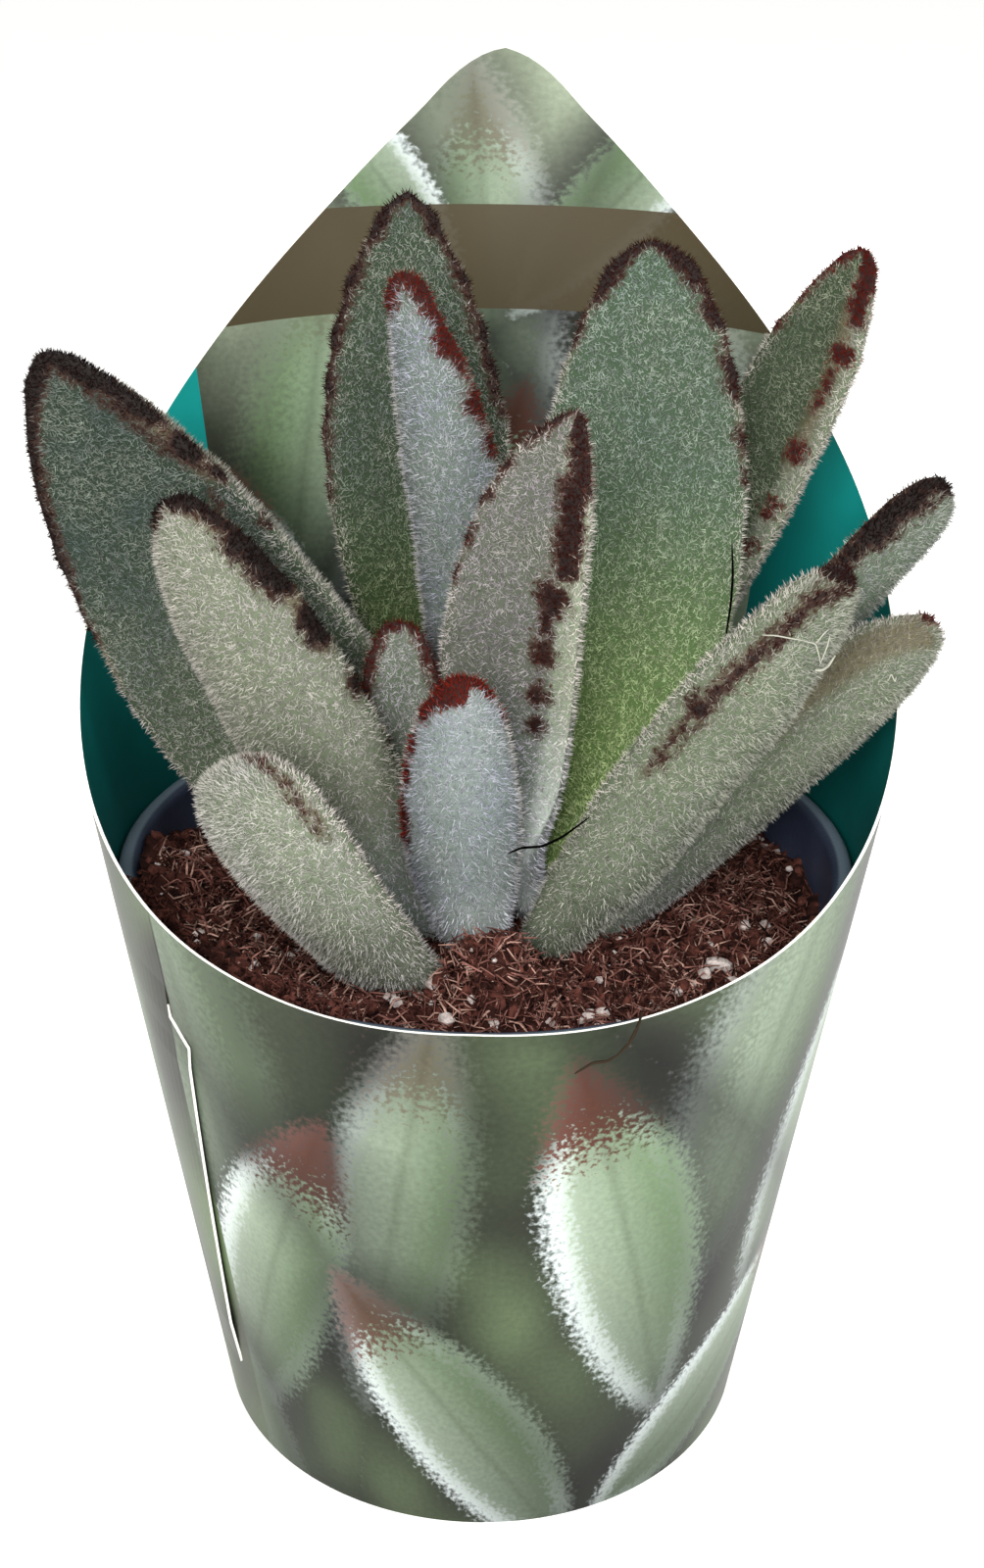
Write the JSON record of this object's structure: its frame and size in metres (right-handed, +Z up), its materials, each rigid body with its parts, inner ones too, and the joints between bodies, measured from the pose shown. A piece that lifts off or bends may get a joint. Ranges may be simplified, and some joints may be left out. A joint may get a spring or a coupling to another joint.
{
  "type": "panda plant in a nursery pot with a card sleeve",
  "caption": "Potted panda plant: a rosette of thick felted leaves with brown-edged tips in potting soil, in a nursery pot inside a tapered card sleeve with a high pointed back.",
  "frame": {"origin": "centre of the nursery pot's base, on the surface that the pot stands on", "axes": "+Z up, +X to the right seen from the front, -Y towards the front, where the sleeve's rim is lowest; the sleeve's pointed back is at +Y"},
  "size_m": [0.1052, 0.1049, 0.1643],
  "materials": {
    "leaf_felt": "matte",
    "stem_bark": "matte",
    "potting_mix": "matte",
    "pot_plastic": "satin",
    "sleeve_card": "satin"
  },
  "bodies": {
    "root": {"nursery_pot": "pot_plastic", "card_sleeve": "sleeve_card", "potting_soil": "potting_mix", "stem": "stem_bark", "leaf_left_tall": "leaf_felt", "leaf_left_front": "leaf_felt", "leaf_left_low": "leaf_felt", "leaf_young_back": "leaf_felt", "leaf_young_front": "leaf_felt", "leaf_back_left": "leaf_felt", "leaf_back_narrow": "leaf_felt", "leaf_centre": "leaf_felt", "leaf_back_right": "leaf_felt", "leaf_right_tall": "leaf_felt", "leaf_right_upper": "leaf_felt", "leaf_right_front": "leaf_felt", "leaf_right_low": "leaf_felt", "leaf_rear_right": "leaf_felt", "leaf_rear_left": "leaf_felt"}
  },
  "joints": []
}
